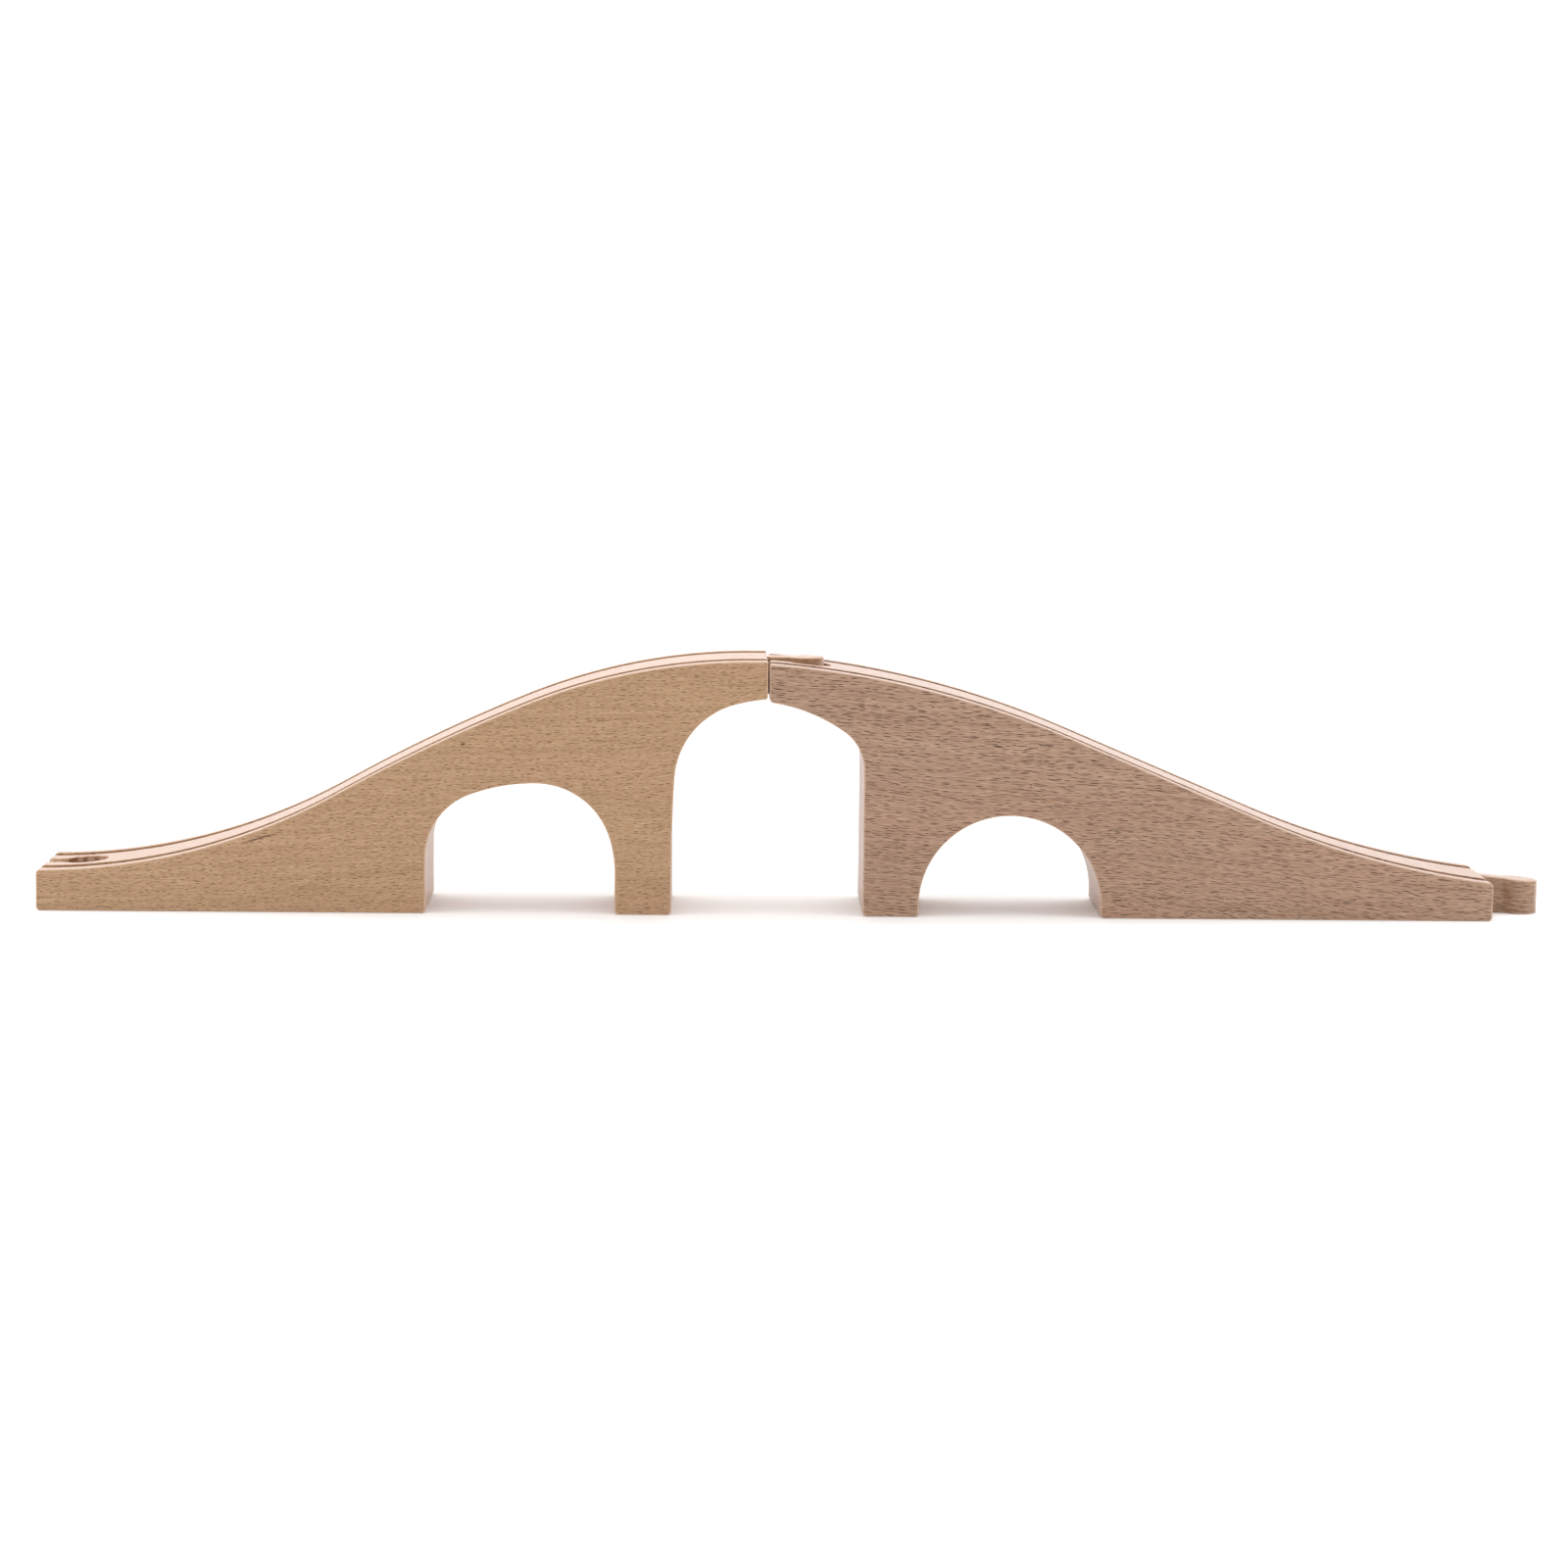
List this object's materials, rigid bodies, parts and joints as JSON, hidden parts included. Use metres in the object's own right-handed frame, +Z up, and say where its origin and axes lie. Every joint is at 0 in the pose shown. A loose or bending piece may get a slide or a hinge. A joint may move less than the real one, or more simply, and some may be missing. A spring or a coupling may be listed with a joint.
{
  "type": "wooden toy railway bridge",
  "caption": "Arched bridge for wooden toy railway track: two grooved beech half spans with arch cut-outs, joined at the crest by a peg and socket.",
  "frame": {"origin": "centre of the whole bridge's length and width, on the surface it stands on", "axes": "+X along the track towards the low end with the peg, +Y across the track, +Z up"},
  "size_m": [0.4492, 0.04, 0.0757],
  "materials": {
    "beech_left": "sanded bare beech, warm yellowish tan, short brown flecks along the grain",
    "beech_right": "sanded bare beech, pinkish brown, dense dark flecks along the grain"
  },
  "bodies": {
    "right_half": {"right_span": "beech_right", "foot_peg": "beech_right"},
    "left_half": {"left_span": "beech_left", "summit_peg": "beech_left"}
  },
  "joints": [
    {"name": "summit_lift", "type": "slide", "parent": "right_half", "child": "left_half", "axis": [0, 0, 1], "range_m": [0, 0.03]}
  ]
}
